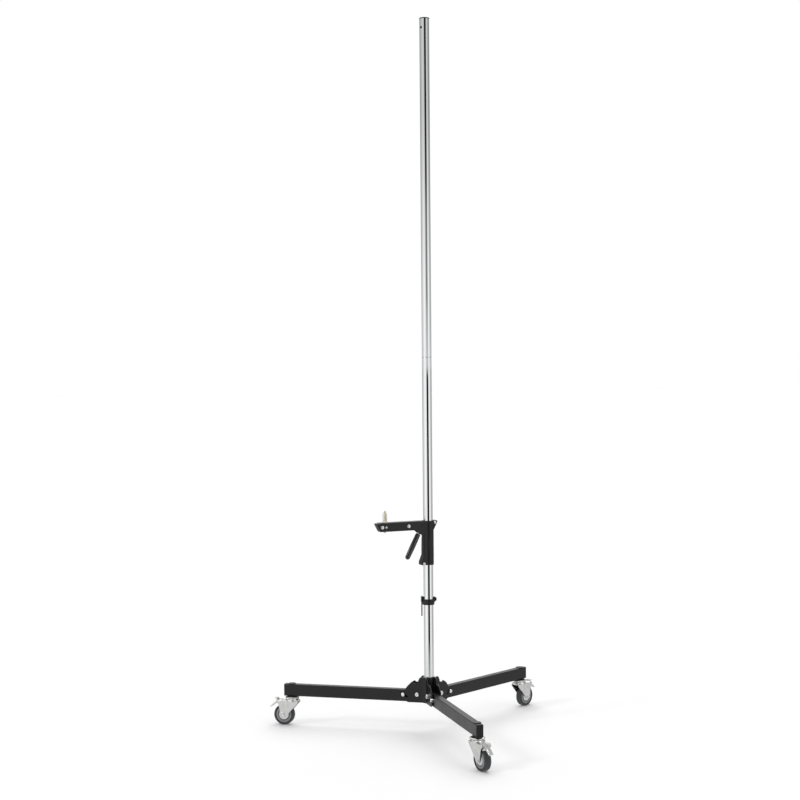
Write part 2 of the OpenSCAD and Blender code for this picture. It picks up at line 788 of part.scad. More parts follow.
module spigot_socket() {
    color(steel) at_azimuth(arm_az) difference() {
        translate([socket_u, 0, arm_z]) cylinder(r = stud_r + socket_wall, h = arm_h);
        translate([socket_u, 0, arm_z - 1]) cylinder(r = stud_r + run, h = arm_h + 2);
        cross_rod([socket_u, arm_bolt_z], lock_screw_r, 0, arm_half);
    }
}

module through_bolt(at, r, half, head_r) {
    cross_rod(at, r, -half, half);
    translate([at[0], half, at[1]]) rotate([-90, 0, 0]) button_head(head_r, bolt_head_t, 2.6);
    translate([at[0], -half, at[1]]) rotate([90, 0, 0]) cylinder(r = head_r, h = bolt_head_t, $fn = 6);
}

module arm_bolts() {
    color(steel) at_azimuth(arm_az) {
        for (b = grip_bolts) through_bolt(b, grip_bolt_r, flare_half, grip_bolt_head_r);
        for (u = arm_bolt_us) through_bolt([u, arm_bolt_z], arm_bolt_r, arm_half, bolt_head_r);
        cross_rod([socket_u, arm_bolt_z], lock_screw_r, stud_r + gap, arm_half);
        translate([socket_u, arm_half, arm_bolt_z]) rotate([-90, 0, 0]) button_head(3.8, 2.2, 1.5);
    }
}

// Hard sleeves on the two grip bolts: they bear on the column where the load tilts the arm
module grip_sleeves() {
    color(steel) at_azimuth(arm_az) for (b = grip_bolts) difference() {
        cross_rod(b, grip_sleeve_r, -grip_sleeve_half, grip_sleeve_half);
        cross_rod(b, grip_bolt_r, -flare_half, flare_half);
    }
}

module lever_pin() {
    color(black) at_azimuth(arm_az) {
        cross_rod(lever_at, lever_pin_r, -arm_half, arm_half);
        for (s = [-1, 1]) translate([lever_at[0], s * arm_half, lever_at[1]]) rotate([-90 * s, 0, 0])
            rotate_extrude() polygon([[0, 0], [4.6, 0], [4.6, 0.5], [3.8, 1.1], [0, 1.1]]);
    }
}

module lever_spring() {
    color(steel) at_azimuth(arm_az) translate([lever_at[0], 0, lever_at[1]]) rotate([-90, 0, 0])
        for (k = [0:2]) translate([0, 0, lever_half + 1.1 + k * 1.3])
            rotate_extrude($fn = 32) translate([lever_pin_r + 1, 0]) circle(r = 0.6, $fn = 16);
}

module release_lever() {
    color(steel) at_azimuth(arm_az) difference() {
        union() {
            upright(-lever_half, lever_half) polygon(lever_outline);
            cross_rod(lever_at, 4.7, -lever_half, lever_half);
        }
        cross_rod(lever_at, lever_pin_r + run, -arm_half, arm_half);
    }
}

module lever_grip() {
    tilt = atan2(grip_end[0] - grip_top[0], grip_top[1] - grip_end[1]);
    grip_len = norm(grip_end - grip_top);
    color(black) at_azimuth(arm_az) difference() {
        upright(-grip_half, grip_half) translate(grip_end) rotate(tilt)
            polygon(concat(arc([0, 0], grip_w / 2, 180, 360, 12), [[grip_w / 2, grip_len], [-grip_w / 2, grip_len]]));
        upright(-lever_half, lever_half) polygon(lever_outline);
    }
}

// Brake shoe between the lever's hook and the column; the lever draws it off the tube
module brake_shoe() {
    color(nylon) at_azimuth(arm_az) {
        difference() {
            translate([0, -9.5, sleeve_top - 31]) cube([shoe_back, 19, 25]);
            translate([0, 0, sleeve_top - 40]) cylinder(r = shoe_face, h = 40, $fn = 96);
        }
        for (s = [-1, 1]) translate([shoe_back - 0.2, s > 0 ? 7 : -9.5, sleeve_top - 11]) cube([8, 2.5, 5]);
        cross_rod(shoe_pin_at, shoe_pin_r, -7.5, 7.5);
    }
}

module spigot() {
    low = flange_z - stud_len;
    high = flange_z + spigot_flange_t + stud_len;
    color(brass) at_azimuth(arm_az) translate([socket_u, 0, 0]) rotate_extrude() polygon([
        [0, low - tip_len], [lower_tip_r - 0.6, low - tip_len], [lower_tip_r, low - tip_len + 0.6],
        [lower_tip_r, low], [stud_r - 0.8, low], [stud_r, low + 0.8], [stud_r, flange_z - 2 - groove_w],
        [groove_r, flange_z - 1 - groove_w], [groove_r, flange_z - 1], [stud_r, flange_z],
        [spigot_flange_r - 0.5, flange_z], [spigot_flange_r, flange_z + 0.5],
        [spigot_flange_r, flange_z + spigot_flange_t - 0.5], [spigot_flange_r - 0.5, flange_z + spigot_flange_t],
        [stud_r, flange_z + spigot_flange_t], [groove_r, flange_z + spigot_flange_t + 1],
        [groove_r, flange_z + spigot_flange_t + 1 + groove_w], [stud_r, flange_z + spigot_flange_t + 2 + groove_w],
        [stud_r, high - 0.8], [stud_r - 0.8, high], [upper_tip_r, high], [upper_tip_r, high + tip_len - 0.8],
        [upper_tip_r - 0.8, high + tip_len], [0, high + tip_len]
    ]);
}

hub_core();
for (i = [0:2]) hub_plate(i);
hub_clamp_ring();
hub_screws();
pivot_bolts();
pivot_spacers();
lower_tube();
upper_tube();
tube_connector();
tube_screws();
for (i = [0:2]) {
    leg_tube(i);
    leg_end_cap(i);
    stem_socket(i);
    lock_spring(i);
    lock_pin(i);
    caster_mount(i);
    caster_fork(i);
    caster_axle(i);
    wheel_hub(i);
    tyre(i);
    brake_pedal(i);
}
stop_collar();
stop_lever();
stop_knob();
glide_rings();
arm_shell_near();
arm_shell_far();
spigot_socket();
arm_bolts();
grip_sleeves();
lever_pin();
lever_spring();
release_lever();
lever_grip();
brake_shoe();
spigot();
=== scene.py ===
import math
import bmesh
import bpy
from mathutils import Matrix, Vector


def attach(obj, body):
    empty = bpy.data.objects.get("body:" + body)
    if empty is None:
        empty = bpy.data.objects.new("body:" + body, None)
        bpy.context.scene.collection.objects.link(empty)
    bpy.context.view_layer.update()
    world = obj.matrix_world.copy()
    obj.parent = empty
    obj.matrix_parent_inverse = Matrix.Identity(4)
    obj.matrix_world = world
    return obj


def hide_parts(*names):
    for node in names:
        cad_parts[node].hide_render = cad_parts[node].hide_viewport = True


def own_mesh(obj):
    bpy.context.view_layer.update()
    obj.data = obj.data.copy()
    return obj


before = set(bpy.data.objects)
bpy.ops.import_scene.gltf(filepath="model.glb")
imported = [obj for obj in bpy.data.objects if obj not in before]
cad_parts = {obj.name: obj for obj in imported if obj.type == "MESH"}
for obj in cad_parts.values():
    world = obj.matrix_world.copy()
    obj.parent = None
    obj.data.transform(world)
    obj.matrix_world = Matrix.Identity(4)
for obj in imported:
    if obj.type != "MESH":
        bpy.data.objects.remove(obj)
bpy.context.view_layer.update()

# Camera: fitted to the photograph from the ends of the column, the legs and the casters. It stands 5.26 m
# away at chest height, and the part is turned from the photograph by 17.6 degrees.
stand_off, eye_height = 5.257, 1.3175
part_turn = math.radians(-17.6)
pitch, yaw, roll = math.radians(1.405), math.radians(-1.048), math.radians(0.453)
ahead = Vector((math.sin(yaw) * math.cos(pitch), math.cos(yaw) * math.cos(pitch), -math.sin(pitch)))
level_right = Vector((math.cos(yaw), -math.sin(yaw), 0))
level_down = ahead.cross(level_right)
to_right = math.cos(roll) * level_right + math.sin(roll) * level_down
to_bottom = math.cos(roll) * level_down - math.sin(roll) * level_right
camera_data = bpy.data.cameras.new("camera")
camera_data.lens = 66.39
camera_data.sensor_width = 36
camera_data.clip_end = 100
camera = bpy.data.objects.new("camera", camera_data)
bpy.context.scene.collection.objects.link(camera)
standing = Matrix.Rotation(part_turn, 4, "Z") @ Matrix.Translation((0, -stand_off, eye_height))
camera.matrix_world = standing @ Matrix((to_right, -to_bottom, -ahead)).transposed().to_4x4()
bpy.context.scene.camera = camera
bpy.context.scene.view_settings.view_transform = "Standard"

# Reflected room: what bright metal shows. Grey walls dim toward the ceiling, and behind the camera stands
# one dark upright screen, paler just above eye level, that draws the stripe down the column.
behind_camera = math.atan2(camera.location.y, camera.location.x) / (2 * math.pi) + 0.5
side_wall_grey = 0.85
# Each pair is a turn round from behind the camera and the wall's grey there.
wall_greys = (
    (-0.430, 0.85), (-0.400, 0.45), (-0.330, 0.45), (-0.300, 0.85), (-0.255, 0.66), (-0.215, 0.76),
    (-0.180, 0.95), (-0.110, 1.05), (-0.060, 0.85), (-0.028, 0.90), (-0.018, 0.01), (0.092, 0.01),
    (0.104, 0.95), (0.150, 1.00), (0.200, 0.88), (0.240, 0.50), (0.330, 0.45), (0.410, 0.45),
)
# Each pair is a height and the grey there. 0 is 14 degrees below level, 0.5 is level, 1 is 14 degrees above.
screen_greys = (
    (0.0, 0.0), (0.484, 0.0), (0.496, 0.62), (0.530, 0.52), (0.568, 0.42), (0.591, 0.26), (0.700, 0.22),
    (0.750, 0.04), (1.0, 0.0),
)
ceiling_greys = ((0.0, 1.0), (0.60, 1.0), (0.84, 0.66), (1.0, 0.66))
height_span = 0.25
# The colour sockets of a Mix node, which share their names with its other sockets.
colour_a, colour_b, colour_out = 6, 7, 2


def grey(level):
    return (level, level, level, 1)


def shader_node(tree, kind, **inputs):
    made = tree.nodes.new("ShaderNode" + kind)
    for key, value in inputs.items():
        made.inputs[key.replace("_", " ")].default_value = value
    return made


def colour_mix(tree, blend="MIX"):
    mix = shader_node(tree, "Mix")
    mix.data_type = "RGBA"
    mix.blend_type = blend
    return mix


def operation_node(tree, kind, operation):
    made = shader_node(tree, kind)
    made.operation = operation
    return made


def grey_ramp(tree, place, greys, turned_by=0.0):
    ramp = shader_node(tree, "ValToRGB")
    tree.links.new(place, ramp.inputs["Fac"])
    stops = ramp.color_ramp.elements
    for stop in stops:
        stop.color = grey(side_wall_grey)
    for at, level in greys:
        if at in (0.0, 1.0):
            stop = stops[0 if at == 0 else len(stops) - 1]
        else:
            stop = stops.new((turned_by + at) % 1)
        stop.color = grey(level)
    return ramp.outputs["Color"]


def room_colour(tree, direction):
    link = tree.links.new
    split = shader_node(tree, "SeparateXYZ")
    link(direction, split.inputs[0])
    azimuth = operation_node(tree, "Math", "ARCTAN2")
    link(split.outputs["Y"], azimuth.inputs[0])
    link(split.outputs["X"], azimuth.inputs[1])
    turn = shader_node(tree, "MapRange", From_Min=-math.pi, From_Max=math.pi)
    link(azimuth.outputs[0], turn.inputs["Value"])
    height = shader_node(tree, "MapRange", From_Min=-height_span, From_Max=height_span)
    link(split.outputs["Z"], height.inputs["Value"])
    colour = grey_ramp(tree, turn.outputs[0], wall_greys, behind_camera)
    for blend, greys in (("LIGHTEN", screen_greys), ("MULTIPLY", ceiling_greys)):
        mixed = colour_mix(tree, blend)
        mixed.inputs["Factor"].default_value = 1.0
        link(colour, mixed.inputs[colour_a])
        link(grey_ramp(tree, height.outputs[0], greys), mixed.inputs[colour_b])
        colour = mixed.outputs[colour_out]
    return colour


# Studio floor: plain white. The camera sees it a little brighter than it is lit, so that it meets the white
# surround without a line and keeps the stand's shadow. In bright metal it is light grey near the stand and
# turns into the room further out.
floor_half = 60
floor_lift = 0.06
near_reach, far_reach = 0.6, 1.8
reflecting_height = 1.1
floor_mesh = bpy.data.meshes.new("floor")
corners = [(x * floor_half, y * floor_half, 0) for x, y in ((-1, -1), (1, -1), (1, 1), (-1, 1))]
floor_mesh.from_pydata(corners, [], [(0, 1, 2, 3)])
floor = bpy.data.objects.new("floor", floor_mesh)
bpy.context.scene.collection.objects.link(floor)
floor_white = bpy.data.materials.new("studio_floor")
floor_white.use_nodes = True
tree = floor_white.node_tree
link = tree.links.new
shader = tree.nodes["Principled BSDF"]
shader.inputs["Base Color"].default_value = grey(0.9)
shader.inputs["Roughness"].default_value = 0.7
shader.inputs["Specular IOR Level"].default_value = 0.0
shader.inputs["Emission Color"].default_value = grey(1)
paths = shader_node(tree, "LightPath")
lift = operation_node(tree, "Math", "MULTIPLY")
lift.inputs[1].default_value = floor_lift
link(paths.outputs["Is Camera Ray"], lift.inputs[0])
link(lift.outputs[0], shader.inputs["Emission Strength"])
coords = shader_node(tree, "TexCoord")
distance = operation_node(tree, "VectorMath", "LENGTH")
link(coords.outputs["Object"], distance.inputs[0])
afar = shader_node(tree, "MapRange", From_Min=near_reach, From_Max=far_reach)
link(distance.outputs["Value"], afar.inputs["Value"])
shown = colour_mix(tree)
shown.inputs[colour_a].default_value = grey(0.72)
link(afar.outputs[0], shown.inputs["Factor"])
from_column = operation_node(tree, "VectorMath", "SUBTRACT")
from_column.inputs[1].default_value = (0, 0, reflecting_height)
link(coords.outputs["Object"], from_column.inputs[0])
outlook = operation_node(tree, "VectorMath", "NORMALIZE")
link(from_column.outputs[0], outlook.inputs[0])
link(room_colour(tree, outlook.outputs[0]), shown.inputs[colour_b])
mirrored = shader_node(tree, "Emission")
link(shown.outputs[colour_out], mirrored.inputs["Color"])
choice = shader_node(tree, "MixShader")
link(paths.outputs["Is Glossy Ray"], choice.inputs["Fac"])
link(shader.outputs[0], choice.inputs[1])
link(mirrored.outputs[0], choice.inputs[2])
link(choice.outputs[0], tree.nodes["Material Output"].inputs["Surface"])
floor_mesh.materials.append(floor_white)

# Studio surround: plain white for the camera and through clear pieces, an even grey as light, and the
# reflected room for bright metal.
world = bpy.data.worlds.new("studio")
world.use_nodes = True
bpy.context.scene.world = world
tree = world.node_tree
link = tree.links.new
coords = shader_node(tree, "TexCoord")
paths = shader_node(tree, "LightPath")
shown = colour_mix(tree)
shown.inputs[colour_a].default_value = grey(0.36)
link(paths.outputs["Is Glossy Ray"], shown.inputs["Factor"])
link(room_colour(tree, coords.outputs["Generated"]), shown.inputs[colour_b])
white = colour_mix(tree)
white.inputs[colour_b].default_value = grey(1)
seen = operation_node(tree, "Math", "MAXIMUM")
link(paths.outputs["Is Camera Ray"], seen.inputs[0])
link(paths.outputs["Is Transmission Ray"], seen.inputs[1])
link(seen.outputs[0], white.inputs["Factor"])
link(shown.outputs[colour_out], white.inputs[colour_a])
link(white.outputs[colour_out], tree.nodes["Background"].inputs["Color"])

# Lamps: two wide soft lights overhead, the stronger one behind the stand, so that its shadow spreads toward
# the camera, with a narrow one at the left and a soft one at the right. Each row is a lamp's name, the way
# to it, its width in degrees and its strength.
for name, direction, width, strength in (
        ("lamp_back", (0.2, 0.75, 1.0), 66, 1.64), ("lamp_top", (0.0, -0.25, 1.0), 66, 0.55),
        ("lamp_left", (-0.83, -0.17, 0.53), 10, 0.45), ("lamp_right", (1.0, -0.9, 1.1), 40, 0.20)):
    lamp_data = bpy.data.lights.new(name, "SUN")
    lamp_data.angle = math.radians(width)
    lamp_data.energy = strength
    lamp = bpy.data.objects.new(name, lamp_data)
    lamp.rotation_euler = Vector(direction).to_track_quat("Z", "Y").to_euler()
    bpy.context.scene.collection.objects.link(lamp)


# Column: two drawn steel tubes, 35 mm across, chromed and buffed outside and bare inside. The plating shows
# faint draw lines and rub marks. The ends are lightly chamfered, which draws a line at the joint.
crease = math.radians(38)
rounded_edge = 0.0008
merge_distance = 2e-6
flat_angle, corner_angle = math.radians(0.5), math.radians(32)
plated_radius = 0.0172


def coated(name, colour, patch_colour, metallic, gloss, grain, relief, patch=18.0, stretch=(1, 1, 1),
           crystals=False, edge_wear_and_sheen=None, specular=0.5):
    material = bpy.data.materials.new(name)
    material.use_nodes = True
    tree = material.node_tree
    link = tree.links.new
    shader = tree.nodes["Principled BSDF"]
    shader.inputs["Metallic"].default_value = metallic
    shader.inputs["Specular IOR Level"].default_value = specular
    coords = shader_node(tree, "TexCoord")
    mapping = shader_node(tree, "Mapping", Scale=stretch)
    link(coords.outputs["Object"], mapping.inputs["Vector"])
    patches = shader_node(tree, "TexNoise", Scale=patch, Detail=6.0, Roughness=0.65)
    link(mapping.outputs[0], patches.inputs["Vector"])
    spread = shader_node(tree, "MapRange", From_Min=0.3, From_Max=0.7)
    link(patches.outputs["Fac"], spread.inputs["Value"])
    tint = colour_mix(tree)
    tint.inputs[colour_a].default_value = (*colour, 1)
    tint.inputs[colour_b].default_value = (*patch_colour, 1)
    link(spread.outputs[0], tint.inputs["Factor"])
    shine = shader_node(tree, "MapRange", To_Min=gloss[0], To_Max=gloss[1])
    link(spread.outputs[0], shine.inputs["Value"])
    link(shine.outputs[0], shader.inputs["Roughness"])
    if crystals:
        fine = shader_node(tree, "TexVoronoi", Scale=grain)
    else:
        fine = shader_node(tree, "TexNoise", Scale=grain, Detail=3.0)
    link(mapping.outputs[0], fine.inputs["Vector"])
    rounded = shader_node(tree, "Bevel", Radius=rounded_edge)
    rounded.samples = 4
    bump = shader_node(tree, "Bump", Strength=1.0, Distance=relief)
    link(fine.outputs[0], bump.inputs["Height"])
    link(rounded.outputs["Normal"], bump.inputs["Normal"])
    link(bump.outputs["Normal"], shader.inputs["Normal"])
    if edge_wear_and_sheen is None:
        link(tint.outputs[colour_out], shader.inputs["Base Color"])
        return material
    # Painted edge highlight, partly rub wear: every edge, outer and inner, is painted the lighter edge grey
    # in noise patches.
    geometry = shader_node(tree, "NewGeometry")
    facing = operation_node(tree, "VectorMath", "DOT_PRODUCT")
    link(geometry.outputs["Normal"], facing.inputs[0])
    link(rounded.outputs["Normal"], facing.inputs[1])
    edge = shader_node(tree, "MapRange", From_Min=0.985, From_Max=0.86)
    link(facing.outputs["Value"], edge.inputs["Value"])
    wear_and_sheen_mask = operation_node(tree, "Math", "MULTIPLY")
    link(edge.outputs[0], wear_and_sheen_mask.inputs[0])
    link(spread.outputs[0], wear_and_sheen_mask.inputs[1])
    wear_and_sheen_mix = colour_mix(tree)
    wear_and_sheen_mix.inputs[colour_b].default_value = (*edge_wear_and_sheen, 1)
    link(wear_and_sheen_mask.outputs[0], wear_and_sheen_mix.inputs["Factor"])
    link(tint.outputs[colour_out], wear_and_sheen_mix.inputs[colour_a])
    link(wear_and_sheen_mix.outputs[colour_out], shader.inputs["Base Color"])
    return material


def fit(piece, material, body, slot, *replaced):
    bpy.context.scene.collection.objects.link(piece)
    piece.data.materials.clear()
    piece.data.materials.append(material)
    piece.data.set_sharp_from_angle(angle=crease)
    even = piece.modifiers.new("even_normals", "WEIGHTED_NORMAL")
    even.keep_sharp = True
    shaded = bpy.data.meshes.new_from_object(piece.evaluated_get(bpy.context.evaluated_depsgraph_get()))
    piece.modifiers.remove(even)
    piece.data = shaded
    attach(piece, body)
    if replaced:
        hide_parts(*replaced)
    return piece


def softened(node, radius, material, body, slot, keep=None):
    mesh = bpy.data.meshes.new("soft_" + node)
    bm = bmesh.new()
    bm.from_mesh(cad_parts[node].data)
    bmesh.ops.remove_doubles(bm, verts=bm.verts, dist=merge_distance)
    bmesh.ops.dissolve_limit(bm, angle_limit=flat_angle, verts=bm.verts, edges=bm.edges)
    edges = [e for e in bm.edges if len(e.link_faces) == 2 and e.calc_face_angle(0) > corner_angle]
    if keep:
        edges = [e for e in edges if keep(e)]
    bmesh.ops.bevel(bm, geom=edges, offset=radius, segments=2, profile=0.5, affect="EDGES",
                    clamp_overlap=False, offset_type="OFFSET")
    bmesh.ops.triangulate(bm, faces=[f for f in bm.faces if len(f.verts) > 4])
    bm.to_mesh(mesh)
    bm.free()
    if "custom_normal" in mesh.attributes:
        mesh.attributes.remove(mesh.attributes["custom_normal"])
    mesh.shade_smooth()
    return fit(bpy.data.objects.new("soft_" + node, mesh), material, body, slot, node)


column_plating = coated("column_chrome", (0.90, 0.905, 0.91), (0.84, 0.85, 0.86), metallic=1,
                        gloss=(0.02, 0.05), grain=160, relief=0.000004, patch=40.0, stretch=(1, 1, 0.03))
bare_steel = coated("bare_steel", (0.05, 0.05, 0.052), (0.035, 0.034, 0.034), metallic=1, gloss=(0.45, 0.6),
                    grain=500, relief=0.00003, patch=50.0)
for node in ("lower_tube", "upper_tube"):
    tube = softened(node, 0.0004, column_plating, "hub", "column_chrome")
    tube.data.materials.append(bare_steel)
    for face in tube.data.polygons:
        if math.hypot(face.center.x, face.center.y) < plated_radius:
            face.material_index = 1

# Joint screws and inner sleeve: bright zinc-plated steel. The sleeve holds the two tubes in line, and the
# screws' domed heads are ground down to the tube so that the arm slides over them.
bright_zinc = coated("bright_steel", (0.96, 0.965, 0.97), (0.89, 0.895, 0.90), metallic=1, gloss=(0.14, 0.26),
                     grain=900, relief=0.00003, patch=60.0)


def coat_cad_piece(node, material):
    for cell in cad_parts[node].material_slots:
        cell.material = material


coat_cad_piece("tube_connector", bright_zinc)
coat_cad_piece("tube_screws", bright_zinc)


# Hub core and clamp ring: black-coated castings that hold the foot of the column. The ring is slit, and its
# screws draw it down on the core.
def outward(azimuth, reach, height):
    a = math.radians(azimuth)
    return Vector((reach * math.cos(a), reach * math.sin(a), height))


# Black casting: its edges are painted lighter in patches, partly rub wear, partly painted edge highlight.
cast_black = coated("black_casting", (0.012, 0.012, 0.013), (0.018, 0.018, 0.019), metallic=0,
                    gloss=(0.28, 0.42), grain=900, relief=0.00010, edge_wear_and_sheen=(0.10, 0.10, 0.11), specular=0.35)
for node in ("hub_core", "hub_clamp_ring"):
    softened(node, 0.0008, cast_black, "hub", "black_casting")

# Hub plates: three pressed steel plates, black powder coated, that wrap the core and carry the leg pivots.
# Their sheared edges, where the coat is thin, are painted lighter in patches: partly rub wear, partly painted
# edge highlight.
powder_black = coated("black_paint", (0.007, 0.007, 0.008), (0.012, 0.012, 0.013), metallic=0,
                      gloss=(0.24, 0.36), grain=1300, relief=0.00006, edge_wear_and_sheen=(0.14, 0.14, 0.15), specular=0.4)
for node in ("hub_plate_left", "hub_plate_right", "hub_plate_rear"):
    softened(node, 0.0005, powder_black, "hub", "black_paint")

# Hub screws: blackened countersunk screws flush with the webs, small zinc-plated button heads on the ring
# and the foot bolt's hexagon head. Each is turned, and Geometry Nodes set one on each place.
upward = Vector((0, 0, 1))
sixth = math.radians(60)


def skinned(name, rings):
    bm = bmesh.new()
    loops = [[bm.verts.new(point) for point in ring] for ring in rings]
    for lower, upper in zip(loops, loops[1:]):
        for k in range(len(lower)):
            after = (k + 1) % len(lower)
            bm.faces.new((lower[k], lower[after], upper[after], upper[k]))
    if rings[0] != rings[-1]:
        bm.faces.new(loops[0])
        bm.faces.new(loops[-1])
    bmesh.ops.remove_doubles(bm, verts=bm.verts, dist=1e-7)
    bmesh.ops.recalc_face_normals(bm, faces=bm.faces)
    mesh = bpy.data.meshes.new(name)
    bm.to_mesh(mesh)
    bm.free()
    mesh.shade_smooth()
    mesh.set_sharp_from_angle(angle=crease)
    return bpy.data.objects.new(name, mesh)


# Each point of an outline is a radius and a height, with a third number where the ring is a hexagon.
def turned(name, outline, steps=48):
    rings = []
    for radius, height, *hexagon in outline:
        ring = []
        for k in range(steps):
            a = 2 * math.pi * k / steps
            flat = math.cos(sixth / 2) / math.cos(a % sixth - sixth / 2) if hexagon else 1
            ring.append((radius * flat * math.cos(a), radius * flat * math.sin(a), height))
        rings.append(ring)
    return skinned(name, rings)


def placed(piece, centre, axis):
    face_way = upward.rotation_difference(Vector(axis)).to_matrix().to_4x4()
    piece.data.transform(Matrix.Translation(centre) @ face_way)
    return piece


def evaluated(name, source, tree, values):
    carrier = bpy.data.objects.new("carrier", source)
    bpy.context.scene.collection.objects.link(carrier)
    modifier = carrier.modifiers.new("nodes", "NODES")
    modifier.node_group = tree
    ids = {item.name: item.identifier for item in tree.interface.items_tree if item.in_out == "INPUT"}
    for key, value in values.items():
        modifier[ids[key]] = value
    mesh = bpy.data.meshes.new_from_object(carrier.evaluated_get(bpy.context.evaluated_depsgraph_get()))
    bpy.data.objects.remove(carrier)
    mesh.name = name
    mesh.shade_smooth()
    return bpy.data.objects.new(name, mesh)


set_on_places = bpy.data.node_groups.new("set_on_places", "GeometryNodeTree")
for label, kind in (("Places", "Geometry"), ("Part", "Object"), ("Finish", "Material")):
    set_on_places.interface.new_socket(label, in_out="INPUT", socket_type="NodeSocket" + kind)
set_on_places.interface.new_socket("Fitted", in_out="OUTPUT", socket_type="NodeSocketGeometry")
entry = set_on_places.nodes.new("NodeGroupInput")
leave = set_on_places.nodes.new("NodeGroupOutput")
part_info = set_on_places.nodes.new("GeometryNodeObjectInfo")
facing = set_on_places.nodes.new("GeometryNodeInputNamedAttribute")
facing.data_type = "FLOAT_VECTOR"
facing.inputs["Name"].default_value = "facing"
aim = set_on_places.nodes.new("FunctionNodeAlignRotationToVector")
aim.axis = "Z"
stand = set_on_places.nodes.new("GeometryNodeInstanceOnPoints")
real = set_on_places.nodes.new("GeometryNodeRealizeInstances")
paint = set_on_places.nodes.new("GeometryNodeSetMaterial")
link = set_on_places.links.new
link(entry.outputs["Part"], part_info.inputs["Object"])
link(facing.outputs["Attribute"], aim.inputs["Vector"])
link(entry.outputs["Places"], stand.inputs["Points"])
link(part_info.outputs["Geometry"], stand.inputs["Instance"])
link(aim.outputs["Rotation"], stand.inputs["Rotation"])
link(stand.outputs["Instances"], real.inputs["Geometry"])
link(real.outputs["Geometry"], paint.inputs["Geometry"])
link(entry.outputs["Finish"], paint.inputs["Material"])
link(paint.outputs["Geometry"], leave.inputs["Fitted"])


def fit_on_places(name, part, places, material, body, slot, *replaced):
    source = bpy.data.meshes.new(name + "_places")
    source.from_pydata([tuple(at) for at, way in places], [], [])
    ways = source.attributes.new("facing", "FLOAT_VECTOR", "POINT")
    for item, (at, way) in zip(ways.data, places):
        item.vector = way
    part.data.materials.clear()
    made = evaluated(name, source, set_on_places, {"Part": part, "Finish": material})
    fit(made, material, body, slot, *replaced)


def button_head(name, radius, height, socket):
    outline = [(radius * 0.55, -0.0002), (radius * 0.98, 0.0), (radius, 0.0003), (radius, height * 0.34)]
    outline += [(radius * r, height * h) for r, h in ((0.97, 0.52), (0.90, 0.72), (0.78, 0.88), (0.64, 0.97))]
    outline += [(socket * 1.12, height), (socket, height * 0.94), (socket, height * 0.93, 1),
                (socket, height * 0.42, 1), (socket * 0.05, height * 0.30)]
    return turned(name, outline)


def hexagon_nut(name, across, height, bore, end):
    corner = across / math.sqrt(3)
    return turned(name, [
        (bore, -0.0001), (corner * 0.93, 0.0), (corner, height * 0.10, 1), (corner, height * 0.84, 1),
        (corner * 0.86, height), (bore * 1.04, height), (bore, height * 0.97), (bore, height + end * 0.7),
        (bore * 0.84, height + end), (bore * 0.06, height + end)])


plate_azimuths = (210, 330, 90)
web_reach, web_screw_height = 0.026, 0.132
ring_reach, ring_top = 0.0198, 0.197
core_foot = 0.109
countersunk = turned("countersunk_head", [
    (0.0041, -0.0029), (0.0068, -0.0002), (0.0069, 0.0), (0.0033, 0.0), (0.0030, -0.0002),
    (0.0029, -0.0003, 1), (0.0029, -0.0019, 1), (0.0002, -0.0023)])
web_places = [(outward(az, web_reach, web_screw_height), outward(az, 1, 0)) for az in plate_azimuths]
fit_on_places("hub_web_screws", countersunk, web_places, cast_black, "hub", "black_casting", "hub_screws")
ring_screw = button_head("ring_screw", 0.0023, 0.0016, 0.0011)
ring_places = [(outward(az, ring_reach, ring_top), upward) for az in plate_azimuths]
fit_on_places("hub_ring_screws", ring_screw, ring_places, bright_zinc, "hub", "bright_steel")
foot_bolt = hexagon_nut("foot_bolt_head", 0.0155, 0.0044, 0.005, 0.0005)
fit(placed(foot_bolt, (0, 0, core_foot), -upward), bright_zinc, "hub", "bright_steel")

# Leg pivots: 10 mm zinc-plated bolts through plates, washers and leg, with a domed head on one side and a
# lock nut on the other. Thick steel washers keep the leg off the plates.
leg_azimuths = {"left": 150, "front": 270, "right": 30}
pivot_reach, pivot_height = 0.0405, 0.135
wing_face = 0.018


def pivot_centre(azimuth):
    return outward(azimuth, pivot_reach, pivot_height)


def through_rod(name, radius, narrow, chamfer, length, steps=48):
    outline = [(narrow, 0.0), (radius, chamfer), (radius, length - chamfer), (narrow, length)]
    return turned(name, outline, steps)


heads, nuts = [], []
for azimuth in leg_azimuths.values():
    across = outward(azimuth + 90, 1, 0)
    heads.append((pivot_centre(azimuth) + wing_face * across, across))
    nuts.append((pivot_centre(azimuth) - wing_face * across, -across))
shanks = [(at, -way) for at, way in nuts]
pivot_head = button_head("pivot_head", 0.008, 0.005, 0.0028)
pivot_nut = hexagon_nut("pivot_nut", 0.0149, 0.006, 0.005, 0.0025)
pivot_shank = through_rod("pivot_shank", 0.005, 0.0048, 0.0002, 2 * wing_face)
fit_on_places("pivot_bolt_heads", pivot_head, heads, bright_zinc, "hub", "bright_steel")
fit_on_places("pivot_lock_nuts", pivot_nut, nuts, bright_zinc, "hub", "bright_steel")
fit_on_places("pivot_shanks", pivot_shank, shanks, bright_zinc, "hub", "bright_steel", "pivot_bolts")
softened("pivot_spacers", 0.0004, bright_zinc, "hub", "bright_steel")

